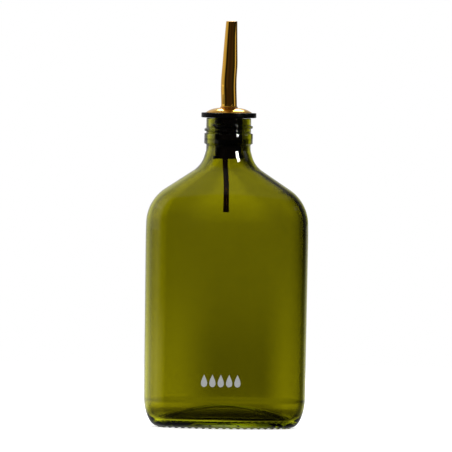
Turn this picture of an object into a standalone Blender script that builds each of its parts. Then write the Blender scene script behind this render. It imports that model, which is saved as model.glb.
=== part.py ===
# An olive glass oil cruet: an oval flask with a screw finish, closed by a black stopper
# that carries a gold disc, a gold pouring spout and a thin air tube.
# Units are metres, +Z is up and the broad front faces -Y. The origin is the middle of the
# base, on the table that the cruet stands on.

from math import cos, pi, radians, sin, tan

import bmesh
import bpy
from mathutils import Vector

MM = 0.001
GAP = 0.3 * MM

# Glass flask, outside
BODY_HALF_WIDTH = 50.4 * MM
BODY_HALF_DEPTH = 26.0 * MM
BODY_TAPER = 0.4 * MM
OVAL_JOIN = radians(22.5)
GLASS_TOP = 192.0 * MM
HEEL_HEIGHT = 18.4 * MM
HEEL_INSET = 8.0 * MM
HEEL_POWER = 1.86
BEARING_WIDTH = 3.0 * MM
PUSH_UP = 8.0 * MM

# Shoulder and neck
NECK_RADIUS = 13.75 * MM
NECK_TOP = 175.3 * MM
FLARE_TOP = 172.9 * MM
FLARE_ANGLE = radians(16.6)
FLARE_BEND = 6.0 * MM
CONE_LENGTH = 3.1 * MM
SLOPE_ANGLE = radians(56.5)
HOLLOW_BEND = 16.0 * MM
SHOULDER_BEND = 26.0 * MM
EASE_ANGLE = radians(1.6)
EASE_BEND = 398.0 * MM

# Screw finish
ROOT_RADIUS = 13.9 * MM
COLLAR_RADIUS = 15.05 * MM
COLLAR_BOTTOM = 176.0 * MM
COLLAR_TOP = 182.6 * MM
COLLAR_ROUND = 0.5 * MM
RIM_ROUND = 0.6 * MM
THREAD_RADIUS = 15.0 * MM
THREAD_HALF_WIDTH = 1.1 * MM
THREAD_PITCH = 3.45 * MM
THREAD_TURNS = 1.4
THREAD_TOP = 187.9 * MM
THREAD_START = radians(-60)
THREAD_FADE = 0.08

# Glass flask, inside
WALL = 3.1 * MM
BORE_RADIUS = 9.3 * MM
INNER_HEEL_HEIGHT = 12.5 * MM
INNER_HEEL_INSET = 6.5 * MM
FLOOR_EDGE = 5.0 * MM
FLOOR_RISE = 9.8 * MM

# Small bars under the base
BAR_COUNT = 44
BAR_HEIGHT = 0.6 * MM
BAR_WIDTH = 2.0 * MM
BAR_LENGTH = 2.2 * MM
BAR_ROOT = 0.6 * MM

# Black stopper
FLANGE_RADIUS = 17.05 * MM
FLANGE_BOTTOM = GLASS_TOP + GAP
FLANGE_TOP = 195.3 * MM
FLANGE_ROUND = 0.5 * MM
PLUG_RADIUS = 8.7 * MM
RIB_RADIUS = 9.0 * MM
RIB_COUNT = 4
RIB_PITCH = 3.2 * MM
RIB_HEIGHT = 0.9 * MM
PLUG_STEP = 175.4 * MM
PLUG_END_RADIUS = 8.2 * MM
FIN_RADIUS = 9.6 * MM
FIN_TOP = 168.6 * MM
STOPPER_BOTTOM = 166.8 * MM

# The way for the oil through the stopper and the disc, and the socket of the air tube
PASSAGE_RADIUS = 3.3 * MM
PASSAGE_PLACE = (0.3 * MM, 0.6 * MM)
SOCKET_RADIUS = 1.9 * MM
SOCKET_TOP = 176.0 * MM

# Gold disc
DISC_RADIUS = 14.2 * MM
DISC_BOTTOM = FLANGE_TOP + GAP
DISC_EDGE = 0.2 * MM
DISC_POWER = 3.6
DISC_TOP = 198.5 * MM

# Gold spout
SPOUT_BOTTOM = DISC_TOP + GAP
SPOUT_TOP = 252.0 * MM
SPOUT_RADIUS = 4.9 * MM
SPOUT_TIP_RADIUS = 3.5 * MM
SPOUT_WALL = 0.8 * MM
SPOUT_LIP = 0.25 * MM
TAPER_START = 223.0 * MM
TAPER_SOFTNESS = 6.0 * MM
FOOT_RADIUS = 5.5 * MM
FOOT_HEIGHT = 1.2 * MM
BEND_START = 212.0 * MM
TIP_BACK = 4.6 * MM
TIP_SIDE = 0.9 * MM
SWAY = 0.45 * MM

# Air tube
TUBE_RADIUS = 1.6 * MM
TUBE_BORE = 0.9 * MM
TUBE_END_RADIUS = 1.85 * MM
TUBE_TOP = SOCKET_TOP - GAP
TUBE_BOTTOM = 133.8 * MM
TUBE_PLACE = (-1.8 * MM, -4.7 * MM)
TUBE_END_PLACE = (-0.85 * MM, -1.5 * MM)
TUBE_BEND_TOP = STOPPER_BOTTOM
TUBE_BEND_BOTTOM = 148.0 * MM

# Facets round each piece, and in each quarter of the flask's broad and end arcs
BROAD_STEPS = 4
END_STEPS = 8
THREAD_SIDES = 40
STOPPER_SIDES = 32
DISC_SIDES = 40
PASSAGE_SIDES = 24
SPOUT_SIDES = 20
TUBE_SIDES = 12


def clear_scene():
    for old in list(bpy.data.objects):
        bpy.data.objects.remove(old, do_unlink=True)


def make_material(name, color, roughness, metallic, transmission=0.0):
    material = bpy.data.materials.new(name)
    material.use_nodes = True
    shader = material.node_tree.nodes["Principled BSDF"]
    shader.inputs["Base Color"].default_value = (*color, 1.0)
    shader.inputs["Roughness"].default_value = roughness
    shader.inputs["Metallic"].default_value = metallic
    shader.inputs["Transmission Weight"].default_value = transmission
    material.diffuse_color = (*color, 1.0)
    return material


def add_object(name, mesh_builder, material):
    mesh = bpy.data.meshes.new(name)
    mesh_builder.to_mesh(mesh)
    mesh_builder.free()
    mesh.shade_smooth()
    mesh.set_sharp_from_angle(angle=radians(35))
    mesh.materials.append(material)
    item = bpy.data.objects.new(name, mesh)
    bpy.context.scene.collection.objects.link(item)
    return item


# A profile of (radius, height) points drawn like a pen that runs straight and turns on
# arcs. Its heading is the angle from straight down towards the outside.
class Outline:
    def __init__(self, radius, height, heading=0.0):
        self.radius = radius
        self.height = height
        self.heading = heading
        self.points = [(radius, height)]

    def run(self, length):
        self.radius += length * sin(self.heading)
        self.height -= length * cos(self.heading)
        self.points.append((self.radius, self.height))

    def turn(self, bend, heading, steps):
        outward = 1.0 if heading > self.heading else -1.0
        side = self.radius + outward * bend * cos(self.heading)
        level = self.height + outward * bend * sin(self.heading)
        first = self.heading
        for step in range(1, steps + 1):
            angle = first + (heading - first) * step / steps
            self.radius = side - outward * bend * cos(angle)
            self.height = level - outward * bend * sin(angle)
            self.points.append((self.radius, self.height))
        self.heading = heading


# Skins a stack of closed rings of equal point counts. The stack either returns to its
# first ring or ends in a point at each end.
def skin_rings(builder, rings, closed):
    loops = []
    for ring in rings:
        loops.append([builder.verts.new(point) for point in ring])
    pairs = list(zip(loops, loops[1:]))
    if closed:
        pairs.append((loops[-1], loops[0]))
    for lower, upper in pairs:
        count = max(len(lower), len(upper))
        for index in range(count):
            after = (index + 1) % count
            if len(lower) == 1:
                builder.faces.new((lower[0], upper[after], upper[index]))
            elif len(upper) == 1:
                builder.faces.new((lower[index], lower[after], upper[0]))
            else:
                builder.faces.new((lower[index], lower[after], upper[after], upper[index]))
    bmesh.ops.recalc_face_normals(builder, faces=builder.faces)


# A turned piece: a profile of (radius, height) points that starts and ends on the Z axis,
# spun about it.
def spin_profile(profile, sides):
    builder = bmesh.new()
    points = [builder.verts.new((radius, 0.0, height)) for radius, height in profile]
    edges = [builder.edges.new(pair) for pair in zip(points, points[1:])]
    bmesh.ops.spin(builder, geom=points + edges, cent=(0, 0, 0), axis=(0, 0, 1),
                   angle=2 * pi, steps=sides, use_merge=True)
    bmesh.ops.remove_doubles(builder, verts=builder.verts, dist=0.02 * MM)
    bmesh.ops.recalc_face_normals(builder, faces=builder.faces)
    return builder


# A share from 0 to 1 that starts and stops gently.
def ease_in_out(share):
    share = min(1.0, max(0.0, share))
    return share * share * (3 - 2 * share)


# A cylinder to cut a hole with.
def add_cutter(radius, place, bottom, top):
    builder = bmesh.new()
    bmesh.ops.create_cone(builder, cap_ends=True, segments=PASSAGE_SIDES, radius1=radius,
                          radius2=radius, depth=top - bottom)
    cutter = add_object("cutter", builder, bpy.data.materials["black_rubber"])
    cutter.location = (*place, (top + bottom) / 2)
    return cutter


# The flask's plan is an oval of four arcs: broad arcs front and back, and small arcs at
# the ends, which meet where the outward normal is OVAL_JOIN from the front.
END_ARC = ((BODY_HALF_DEPTH - BODY_HALF_WIDTH * tan(OVAL_JOIN / 2))
           / (1 - tan(OVAL_JOIN / 2)))
BROAD_ARC = END_ARC + (BODY_HALF_WIDTH - END_ARC) / sin(OVAL_JOIN)


def oval_point(angle):
    right = sin(angle)
    front = cos(angle)
    if abs(right) <= sin(OVAL_JOIN):
        lift = (BROAD_ARC - BODY_HALF_DEPTH) * (1 if front > 0 else -1)
        return BROAD_ARC * right, lift - BROAD_ARC * front
    shift = (BODY_HALF_WIDTH - END_ARC) * (1 if right > 0 else -1)
    return shift + END_ARC * right, -END_ARC * front


# The directions of the outward normals round the flask, each arc in equal steps.
def ring_angles(broad_steps, end_steps):
    quarter = [OVAL_JOIN * step / broad_steps for step in range(broad_steps)]
    quarter += [OVAL_JOIN + (pi / 2 - OVAL_JOIN) * step / end_steps
                for step in range(end_steps)]
    half = quarter + [pi / 2] + [pi - angle for angle in quarter[:0:-1]]
    return half + [pi + angle for angle in half]


# A ring of the flask: a share of the oval, grown or shrunk evenly along its normals. A
# share of 0 is a circle and a share of 1 the full oval.
def glass_ring(share, growth, height, fineness=1):
    ring = []
    for angle in ring_angles(BROAD_STEPS * fineness, END_STEPS * fineness):
        across, deep = oval_point(angle)
        ring.append((share * across + growth * sin(angle),
                     share * deep - growth * cos(angle), height))
    return ring


# Rings for a stretch of outline whose plan changes from a circle at the neck to the oval
# of the body.
def blended_rings(points, neck_radius, body_growth):
    rings = []
    body_width = BODY_HALF_WIDTH + body_growth
    for radius, height in points:
        share = (radius - neck_radius) / (body_width - neck_radius)
        rings.append(glass_ring(share, share * body_growth + (1 - share) * neck_radius,
                                height))
    return rings


def round_rings(points):
    return [glass_ring(0.0, radius, height) for radius, height in points]


# The shoulder's sloping line is as long as the width between its two bends needs.
def draw_shoulder(outline, hollow_bend, shoulder_bend, end_radius):
    outline.turn(hollow_bend, SLOPE_ANGLE, 6)
    bend_width = shoulder_bend * (cos(EASE_ANGLE) - cos(SLOPE_ANGLE))
    ease_width = EASE_BEND * (1 - cos(EASE_ANGLE))
    slope_width = end_radius - outline.radius - bend_width - ease_width
    outline.run(slope_width / sin(SLOPE_ANGLE))
    outline.turn(shoulder_bend, EASE_ANGLE, 9)
    outline.turn(EASE_BEND, 0.0, 2)


def outer_shoulder():
    outline = Outline(NECK_RADIUS, NECK_TOP)
    outline.run(NECK_TOP - FLARE_TOP)
    outline.turn(FLARE_BEND, FLARE_ANGLE, 2)
    outline.run(CONE_LENGTH)
    draw_shoulder(outline, HOLLOW_BEND, SHOULDER_BEND, BODY_HALF_WIDTH)
    return outline


# The inner shoulder runs beside the outer one, a wall's thickness in.
def inner_shoulder():
    bend = HOLLOW_BEND + WALL
    probe = outer_shoulder()
    level = probe.height
    trial = Outline(BORE_RADIUS, 0.0)
    draw_shoulder(trial, bend, SHOULDER_BEND - WALL, BODY_HALF_WIDTH - WALL)
    outline = Outline(BORE_RADIUS, level - trial.height)
    draw_shoulder(outline, bend, SHOULDER_BEND - WALL, BODY_HALF_WIDTH - WALL)
    return outline


def finish_points():
    step = COLLAR_RADIUS - ROOT_RADIUS
    return [
        (BORE_RADIUS, GLASS_TOP - RIM_ROUND),
        (BORE_RADIUS + RIM_ROUND, GLASS_TOP),
        (ROOT_RADIUS - RIM_ROUND, GLASS_TOP),
        (ROOT_RADIUS - 0.3 * RIM_ROUND, GLASS_TOP - 0.3 * RIM_ROUND),
        (ROOT_RADIUS, GLASS_TOP - RIM_ROUND),
        (ROOT_RADIUS, COLLAR_TOP + 0.8 * step),
        (ROOT_RADIUS + 0.3 * step, COLLAR_TOP + 0.3 * step),
        (COLLAR_RADIUS - COLLAR_ROUND, COLLAR_TOP),
        (COLLAR_RADIUS, COLLAR_TOP - COLLAR_ROUND),
        (COLLAR_RADIUS, COLLAR_BOTTOM + COLLAR_ROUND),
        (COLLAR_RADIUS - COLLAR_ROUND, COLLAR_BOTTOM),
    ]


def heel_rings(steps):
    rings = []
    for step in range(steps, -1, -1):
        angle = pi / 2 * step / steps
        inset = HEEL_INSET * (1 - sin(angle) ** (2 / HEEL_POWER))
        rise = 1 - max(cos(angle), 0.0) ** (2 / HEEL_POWER)
        height = BAR_HEIGHT + (HEEL_HEIGHT - BAR_HEIGHT) * rise
        rings.append(glass_ring(1.0, -BODY_TAPER - inset, height))
    return rings


def push_up_rings(shares):
    rings = []
    inset = BODY_TAPER + HEEL_INSET + BEARING_WIDTH
    for share in shares:
        height = BAR_HEIGHT + PUSH_UP * (1 - share ** 2)
        rings.append(glass_ring(share, -inset * share, height))
    rings.append([(0.0, 0.0, BAR_HEIGHT + PUSH_UP)])
    return rings


def inner_floor_rings(heel_steps, shares):
    rings = []
    wall = WALL + BODY_TAPER
    for step in range(heel_steps + 1):
        angle = pi / 2 * step / heel_steps
        inset = INNER_HEEL_INSET * (1 - cos(angle))
        height = FLOOR_EDGE + INNER_HEEL_HEIGHT * (1 - sin(angle))
        rings.append(glass_ring(1.0, -wall - inset, height))
    inset = wall + INNER_HEEL_INSET
    for share in shares:
        height = FLOOR_EDGE + FLOOR_RISE * (1 - share ** 2)
        rings.append(glass_ring(share, -inset * share, height))
    rings.append([(0.0, 0.0, FLOOR_EDGE + FLOOR_RISE)])
    return rings


# The screw thread is a low ridge on a helix that fades out at both ends. Its foot is
# sunk in the neck so that the union has no loose edge.
def add_thread():
    steps = round(THREAD_TURNS * THREAD_SIDES)
    sunk = ROOT_RADIUS - 0.5 * MM
    rings = []
    for step in range(steps + 1):
        share = step / steps
        turn = THREAD_START + 2 * pi * THREAD_TURNS * share
        height = THREAD_TOP - THREAD_PITCH * THREAD_TURNS * share
        fade = min(1.0, share / THREAD_FADE, (1 - share) / THREAD_FADE)
        crest = ROOT_RADIUS - 0.2 * MM + (THREAD_RADIUS - ROOT_RADIUS + 0.2 * MM) * fade
        profile = [(sunk, -THREAD_HALF_WIDTH), (sunk, THREAD_HALF_WIDTH),
                   (ROOT_RADIUS + 0.1 * (crest - ROOT_RADIUS), THREAD_HALF_WIDTH),
                   (crest, 0.3 * THREAD_HALF_WIDTH), (crest, -0.3 * THREAD_HALF_WIDTH),
                   (ROOT_RADIUS + 0.1 * (crest - ROOT_RADIUS), -THREAD_HALF_WIDTH)]
        rings.append([(radius * sin(turn), -radius * cos(turn), height + offset)
                      for radius, offset in profile])
    builder = bmesh.new()
    skin_rings(builder, rings, closed=False)
    loops = [edge for edge in builder.edges if edge.is_boundary]
    bmesh.ops.edgeloop_fill(builder, edges=loops)
    bmesh.ops.recalc_face_normals(builder, faces=builder.faces)
    return add_object("thread_ridge", builder, bpy.data.materials["olive_glass"])


# Places at equal distances along the bearing ring, each with its outward normal.
def bar_places(count):
    inset = BODY_TAPER + HEEL_INSET + 0.5 * BEARING_WIDTH
    angles = ring_angles(40 * BROAD_STEPS, 40 * END_STEPS)
    points = [Vector(point) for point in glass_ring(1.0, -inset, 0.0, fineness=40)]
    lengths = [0.0]
    for first, second in zip(points, points[1:] + points[:1]):
        lengths.append(lengths[-1] + (second - first).length)
    places = []
    index = 0
    for bar in range(count):
        wanted = lengths[-1] * bar / count
        while lengths[index + 1] < wanted:
            index += 1
        places.append((points[index], angles[index]))
    return places


def add_base_bars():
    bars = []
    for place, angle in bar_places(BAR_COUNT):
        builder = bmesh.new()
        bmesh.ops.create_cube(builder, size=1.0)
        depth = BAR_HEIGHT + BAR_ROOT
        bmesh.ops.scale(builder, vec=(BAR_WIDTH, BAR_LENGTH, depth), verts=builder.verts)
        low = [vert for vert in builder.verts if vert.co.z < 0]
        bmesh.ops.scale(builder, vec=(0.6, 0.8, 1.0), verts=low)
        bar = add_object("base_bar", builder, bpy.data.materials["olive_glass"])
        bar.location = (place.x, place.y, depth / 2)
        bar.rotation_euler = (0.0, 0.0, angle)
        bars.append(bar)
    return bars


# Unites the helpers with the body, or cuts them from it, in one go and removes them.
def combine(body, helpers, operation):
    group = bpy.data.collections.new("helpers")
    bpy.context.scene.collection.children.link(group)
    for helper in helpers:
        bpy.context.scene.collection.objects.unlink(helper)
        group.objects.link(helper)
    boolean = body.modifiers.new("combine", "BOOLEAN")
    boolean.operation = operation
    boolean.operand_type = "COLLECTION"
    boolean.collection = group
    boolean.solver = "EXACT"
    bpy.context.view_layer.update()
    joined = bpy.data.meshes.new_from_object(
        body.evaluated_get(bpy.context.evaluated_depsgraph_get()))
    body.modifiers.clear()
    body.data = joined
    for helper in helpers:
        bpy.data.objects.remove(helper, do_unlink=True)
    bpy.data.collections.remove(group)


def build_bottle(material):
    rings = push_up_rings((1.0, 0.85, 0.6, 0.3))[::-1]
    rings += heel_rings(7)[::-1]
    rings += blended_rings(outer_shoulder().points[::-1], NECK_RADIUS, 0.0)
    rings += round_rings(finish_points()[::-1])
    rings += blended_rings(inner_shoulder().points, BORE_RADIUS, -WALL)
    rings += inner_floor_rings(6, (0.85, 0.6, 0.3))
    builder = bmesh.new()
    skin_rings(builder, rings, closed=False)
    bottle = add_object("bottle", builder, material)
    combine(bottle, [add_thread()] + add_base_bars(), "UNION")
    return bottle


def build_stopper(material):
    outline = Outline(FLANGE_RADIUS - FLANGE_ROUND, FLANGE_TOP, pi / 2)
    outline.turn(FLANGE_ROUND, 0.0, 4)
    outline.run(FLANGE_TOP - FLANGE_BOTTOM - 2 * FLANGE_ROUND)
    outline.turn(FLANGE_ROUND, -pi / 2, 4)
    profile = [(0.0, FLANGE_TOP)] + outline.points
    profile.append((PLUG_RADIUS, FLANGE_BOTTOM))
    for index in range(RIB_COUNT):
        middle = FLANGE_BOTTOM - RIB_PITCH * (index + 1)
        profile += [(PLUG_RADIUS, middle + RIB_HEIGHT / 2), (RIB_RADIUS, middle),
                    (PLUG_RADIUS, middle - RIB_HEIGHT / 2)]
    profile += [(PLUG_RADIUS, PLUG_STEP), (PLUG_END_RADIUS, PLUG_STEP - 0.3 * MM),
                (PLUG_END_RADIUS, FIN_TOP), (FIN_RADIUS, FIN_TOP - 0.3 * MM),
                (FIN_RADIUS, STOPPER_BOTTOM + 0.3 * MM),
                (FIN_RADIUS - 0.5 * MM, STOPPER_BOTTOM), (0.0, STOPPER_BOTTOM)]
    stopper = add_object("stopper", spin_profile(profile, STOPPER_SIDES), material)
    passage = add_cutter(PASSAGE_RADIUS, PASSAGE_PLACE, STOPPER_BOTTOM - MM,
                         FLANGE_TOP + MM)
    socket = add_cutter(SOCKET_RADIUS, TUBE_PLACE, STOPPER_BOTTOM - MM, SOCKET_TOP)
    combine(stopper, [passage, socket], "DIFFERENCE")
    return stopper


def build_disc(material):
    rise = DISC_TOP - DISC_BOTTOM - DISC_EDGE
    profile = [(0.0, DISC_BOTTOM), (DISC_RADIUS, DISC_BOTTOM)]
    for share in (1.0, 0.96, 0.91, 0.85, 0.78, 0.7, 0.6, 0.45, 0.25, 0.0):
        profile.append((DISC_RADIUS * share, DISC_TOP - rise * share ** DISC_POWER))
    disc = add_object("disc", spin_profile(profile, DISC_SIDES), material)
    passage = add_cutter(PASSAGE_RADIUS, PASSAGE_PLACE, DISC_BOTTOM - MM, DISC_TOP + MM)
    combine(disc, [passage], "DIFFERENCE")
    return disc


# The spout's axis: a slight sway to the left, then a bend back and to the right.
def spout_axis(height):
    share = (height - SPOUT_BOTTOM) / (SPOUT_TOP - SPOUT_BOTTOM)
    bent = max(0.0, (height - BEND_START) / (SPOUT_TOP - BEND_START))
    across = TIP_SIDE * share ** 2 - SWAY * sin(pi * min(1.0, share / 0.55)) ** 2
    return across, TIP_BACK * bent ** 2


def spout_radius(height):
    slope = (SPOUT_RADIUS - SPOUT_TIP_RADIUS) / (SPOUT_TOP - TAPER_START)
    past = height - TAPER_START
    eased = (past + (past ** 2 + TAPER_SOFTNESS ** 2) ** 0.5) / 2
    return SPOUT_RADIUS - slope * eased


def spout_ring(height, radius):
    across, back = spout_axis(height)
    before = spout_axis(height - MM)[1]
    stretch = (1 + ((back - before) / MM) ** 2) ** 0.5
    ring = []
    for index in range(SPOUT_SIDES):
        angle = 2 * pi * index / SPOUT_SIDES
        ring.append((across + radius * cos(angle),
                     back + radius * stretch * sin(angle), height))
    return ring


def build_spout(material):
    rings = [spout_ring(SPOUT_BOTTOM, FOOT_RADIUS),
             spout_ring(SPOUT_BOTTOM + 0.5 * FOOT_HEIGHT, FOOT_RADIUS),
             spout_ring(SPOUT_BOTTOM + FOOT_HEIGHT, SPOUT_RADIUS)]
    first = SPOUT_BOTTOM + FOOT_HEIGHT
    last = SPOUT_TOP - SPOUT_LIP
    steps = 14
    heights = [first + (last - first) * step / steps for step in range(1, steps + 1)]
    for height in heights:
        rings.append(spout_ring(height, spout_radius(height)))
    tip = spout_radius(SPOUT_TOP)
    rings.append(spout_ring(SPOUT_TOP, tip - SPOUT_LIP))
    rings.append(spout_ring(SPOUT_TOP, tip - SPOUT_WALL + SPOUT_LIP))
    for height in heights[::-1]:
        rings.append(spout_ring(height, spout_radius(height) - SPOUT_WALL))
    rings.append(spout_ring(SPOUT_BOTTOM, SPOUT_RADIUS - SPOUT_WALL))
    builder = bmesh.new()
    skin_rings(builder, rings, closed=True)
    return add_object("spout", builder, material)


# The air tube's axis: straight in its socket, then bent towards the middle.
def tube_ring(height, radius):
    bent = ease_in_out((TUBE_BEND_TOP - height) / (TUBE_BEND_TOP - TUBE_BEND_BOTTOM))
    across, deep = [start + (end - start) * bent
                    for start, end in zip(TUBE_PLACE, TUBE_END_PLACE)]
    ring = []
    for index in range(TUBE_SIDES):
        angle = 2 * pi * index / TUBE_SIDES
        ring.append((across + radius * cos(angle), deep + radius * sin(angle), height))
    return ring


def build_air_tube(material):
    steps = 12
    outside = []
    inside = []
    for step in range(steps + 1):
        height = TUBE_TOP - (TUBE_TOP - TUBE_BOTTOM) * step / steps
        flare = (TUBE_END_RADIUS - TUBE_RADIUS) * (step / steps) ** 3
        outside.append(tube_ring(height, TUBE_RADIUS + flare))
        inside.append(tube_ring(height, TUBE_BORE + flare))
    builder = bmesh.new()
    skin_rings(builder, outside + inside[::-1], closed=True)
    return add_object("air_tube", builder, material)


def main():
    clear_scene()
    glass = make_material("olive_glass", (0.16, 0.15, 0.005), 0.02, 0.0, 1.0)
    black = make_material("black_rubber", (0.012, 0.011, 0.010), 0.4, 0.0)
    gold = make_material("polished_gold", (0.62, 0.38, 0.12), 0.12, 1.0)
    dark = make_material("dark_metal", (0.10, 0.05, 0.03), 0.3, 1.0)
    root = bpy.data.objects.new("root", None)
    bpy.context.scene.collection.objects.link(root)
    pieces = [build_bottle(glass), build_stopper(black), build_disc(gold),
              build_spout(gold), build_air_tube(dark)]
    for piece in pieces:
        piece.parent = root


main()
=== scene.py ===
# Looks of the olive glass oil cruet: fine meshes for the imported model's five solids, a small
# printed row of drops, materials, studio light and camera. Metres, +Z up, front at -Y.

from math import cos, pi, radians, sin, tan

import bmesh
import bpy
import numpy as np
from mathutils import Matrix, Vector


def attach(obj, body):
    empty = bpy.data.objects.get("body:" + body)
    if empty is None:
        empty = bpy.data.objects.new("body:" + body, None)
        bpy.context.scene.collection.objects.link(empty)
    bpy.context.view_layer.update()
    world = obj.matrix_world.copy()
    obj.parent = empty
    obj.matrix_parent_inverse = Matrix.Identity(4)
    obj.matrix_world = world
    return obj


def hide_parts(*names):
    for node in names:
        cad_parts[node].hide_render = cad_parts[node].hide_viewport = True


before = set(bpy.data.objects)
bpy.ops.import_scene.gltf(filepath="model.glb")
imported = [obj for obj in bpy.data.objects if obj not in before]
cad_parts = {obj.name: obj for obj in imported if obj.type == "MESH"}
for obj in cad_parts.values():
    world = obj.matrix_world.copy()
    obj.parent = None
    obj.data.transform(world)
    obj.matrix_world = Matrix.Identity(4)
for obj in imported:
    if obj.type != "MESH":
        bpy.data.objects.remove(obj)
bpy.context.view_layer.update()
mm = 0.001
weldDistance = 0.002 * mm
closeEnough = 1e-6  # two sizes in metres, or two sines, that differ by less are the same


def addPiece(name, grid, quads, material):
    mesh = bpy.data.meshes.new(name)
    mesh.from_pydata(grid.reshape(-1, 3).tolist(), [], quads.tolist())
    mesh.materials.append(material)
    piece = bpy.data.objects.new(name, mesh)
    bpy.context.scene.collection.objects.link(piece)
    return piece


# Closes a grid of points (rows, columns, 3) into a skin. The columns join round, a row of
# equal points becomes a pole, and ring=True joins the last row to the first.
def skinGrid(name, grid, material, ring=False):
    rows, columns = grid.shape[:2]
    number = np.arange(rows * columns).reshape(rows, columns)
    lower = number if ring else number[:-1]
    upper = np.roll(number, -1, axis=0) if ring else number[1:]
    lowerNext = np.roll(lower, -1, axis=1)
    upperNext = np.roll(upper, -1, axis=1)
    quads = np.stack([lower, lowerNext, upperNext, upper], axis=-1).reshape(-1, 4)
    piece = addPiece(name, grid, quads, material)
    mesh = piece.data
    mesh.validate()
    shell = bmesh.new()
    shell.from_mesh(mesh)
    bmesh.ops.remove_doubles(shell, verts=shell.verts, dist=weldDistance)
    bmesh.ops.recalc_face_normals(shell, faces=shell.faces)
    if shell.calc_volume(signed=True) < 0:
        bmesh.ops.reverse_faces(shell, faces=shell.faces)
    shell.to_mesh(mesh)
    shell.free()
    mesh.shade_smooth()
    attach(piece, "root")
    print(name, len(mesh.vertices), "points")
    return piece


# A profile of (radius, height) rows spun about the Z axis: x = r sin(turn), y = -r cos(turn).
def spinRows(profile, columns):
    profile = np.asarray(profile, float)
    turn = np.linspace(0, 2 * pi, columns, endpoint=False)
    radius, height = profile[:, :1], profile[:, 1:]
    return np.stack([radius * np.sin(turn), -radius * np.cos(turn),
                     height + 0 * turn], axis=-1)


# Strokes of a pen that starts at (radius, height) and heads straight down.
# ("run", length, steps) goes straight on; ("turn", bend, heading, steps) follows an arc of
# radius bend until the pen heads that many degrees outwards.
def drawProfile(radius, height, strokes):
    points = [np.array([[radius, height]])]
    angle = 0.0
    for stroke in strokes:
        if stroke[0] == "run":
            steps = np.linspace(0, stroke[1], stroke[2] + 1)[1:]
            made = np.stack([radius + steps * sin(angle), height - steps * cos(angle)], 1)
        else:
            bend, final, count = stroke[1], radians(stroke[2]), stroke[3]
            outward = 1.0 if final > angle else -1.0
            along = np.linspace(angle, final, count + 1)[1:]
            made = np.stack([radius + outward * bend * (cos(angle) - np.cos(along)),
                             height - outward * bend * (np.sin(along) - sin(angle))], 1)
            angle = final
        points.append(made)
        radius, height = made[-1]
    return np.concatenate(points)


# 3 v^2 - 2 v^3, for v from 0 to 1.
def smoothStep(value):
    value = np.clip(value, 0, 1)
    return value * value * (3 - 2 * value)


flask = {
    "halfWidth": 50.4 * mm, "halfDepth": 26.0 * mm, "joinAngle": 22.5,
    "taper": 0.4 * mm, "taperTop": 127.0 * mm,
    "top": 192.0 * mm, "wall": 3.1 * mm, "bore": 9.3 * mm,
    "heelHeight": 18.4 * mm, "heelInset": 8.0 * mm, "heelPower": 1.86,
    "bearing": 3.0 * mm, "pushUp": 8.0 * mm,
    "neck": 13.75 * mm, "neckTop": 175.3 * mm, "flareTop": 172.9 * mm, "flareAngle": 16.6,
    "flareBend": 6.0 * mm, "cone": 3.1 * mm,
    "slope": 56.5, "hollowBend": 16.0 * mm, "shoulderBend": 26.0 * mm,
    "easeAngle": 1.6, "easeBend": 398.0 * mm,
    "root": 13.9 * mm, "collar": 15.05 * mm, "collarBottom": 176.0 * mm,
    "collarTop": 182.6 * mm, "collarRound": 0.55 * mm, "rimRound": 0.6 * mm,
    "innerHeelHeight": 12.5 * mm, "innerHeelInset": 6.5 * mm,
    "floorEdge": 5.0 * mm, "floorRise": 9.8 * mm,
    "broadColumns": 64, "endColumns": 32,
}
thread = {"crest": 1.1 * mm, "halfWidth": 1.1 * mm, "pitch": 3.45 * mm, "turns": 1.4,
          "top": 187.9 * mm, "start": -60.0, "fade": 0.08, "steepness": 1.35}
# A bar's reach and fade are shares of its width and of its length.
baseBars = {"count": 44, "height": 0.6 * mm, "width": 2.0 * mm, "length": 2.2 * mm,
            "widthReach": 0.62, "widthFade": 0.3, "lengthReach": 0.56, "lengthFade": 0.15}

joinAngle = radians(flask["joinAngle"])
endArc = ((flask["halfDepth"] - flask["halfWidth"] * tan(joinAngle / 2))
          / (1 - tan(joinAngle / 2)))
broadArc = endArc + (flask["halfWidth"] - endArc) / sin(joinAngle)


# Directions of the outward normals round the flask, from the front to the right.
def flaskTurns():
    broad = np.linspace(0, joinAngle, flask["broadColumns"], endpoint=False)
    end = np.linspace(joinAngle, pi / 2, flask["endColumns"], endpoint=False)
    quarter = np.concatenate([broad, end])
    half = np.concatenate([quarter, [pi / 2], pi - quarter[:0:-1]])
    return np.concatenate([half, pi + half])


# The oval's point for an outward normal: broad arcs of radius broadArc front and back, and
# arcs of radius endArc at the ends.
def ovalPoint(turn):
    right, front = np.sin(turn), np.cos(turn)
    broad = np.abs(right) <= sin(joinAngle) + closeEnough
    lift = (broadArc - flask["halfDepth"]) * np.sign(front)
    shift = (flask["halfWidth"] - endArc) * np.sign(right)
    return (np.where(broad, broadArc * right, shift + endArc * right),
            np.where(broad, lift - broadArc * front, -endArc * front))


# Rows of (share, growth, height) become rings: share times the oval, plus growth along the
# normal, which is a circle at share 0 and the full oval at share 1.
def flaskGrid(rows):
    turn = flaskTurns()
    across, deep = ovalPoint(turn)
    share, growth, height = rows[:, :1], rows[:, 1:2], rows[:, 2:3]
    growth = growth + threadRidge(turn, rows)
    lowered = height - barDrop(turn, rows)
    return np.stack([share * across + growth * np.sin(turn),
                     share * deep - growth * np.cos(turn), lowered], axis=-1)


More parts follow.
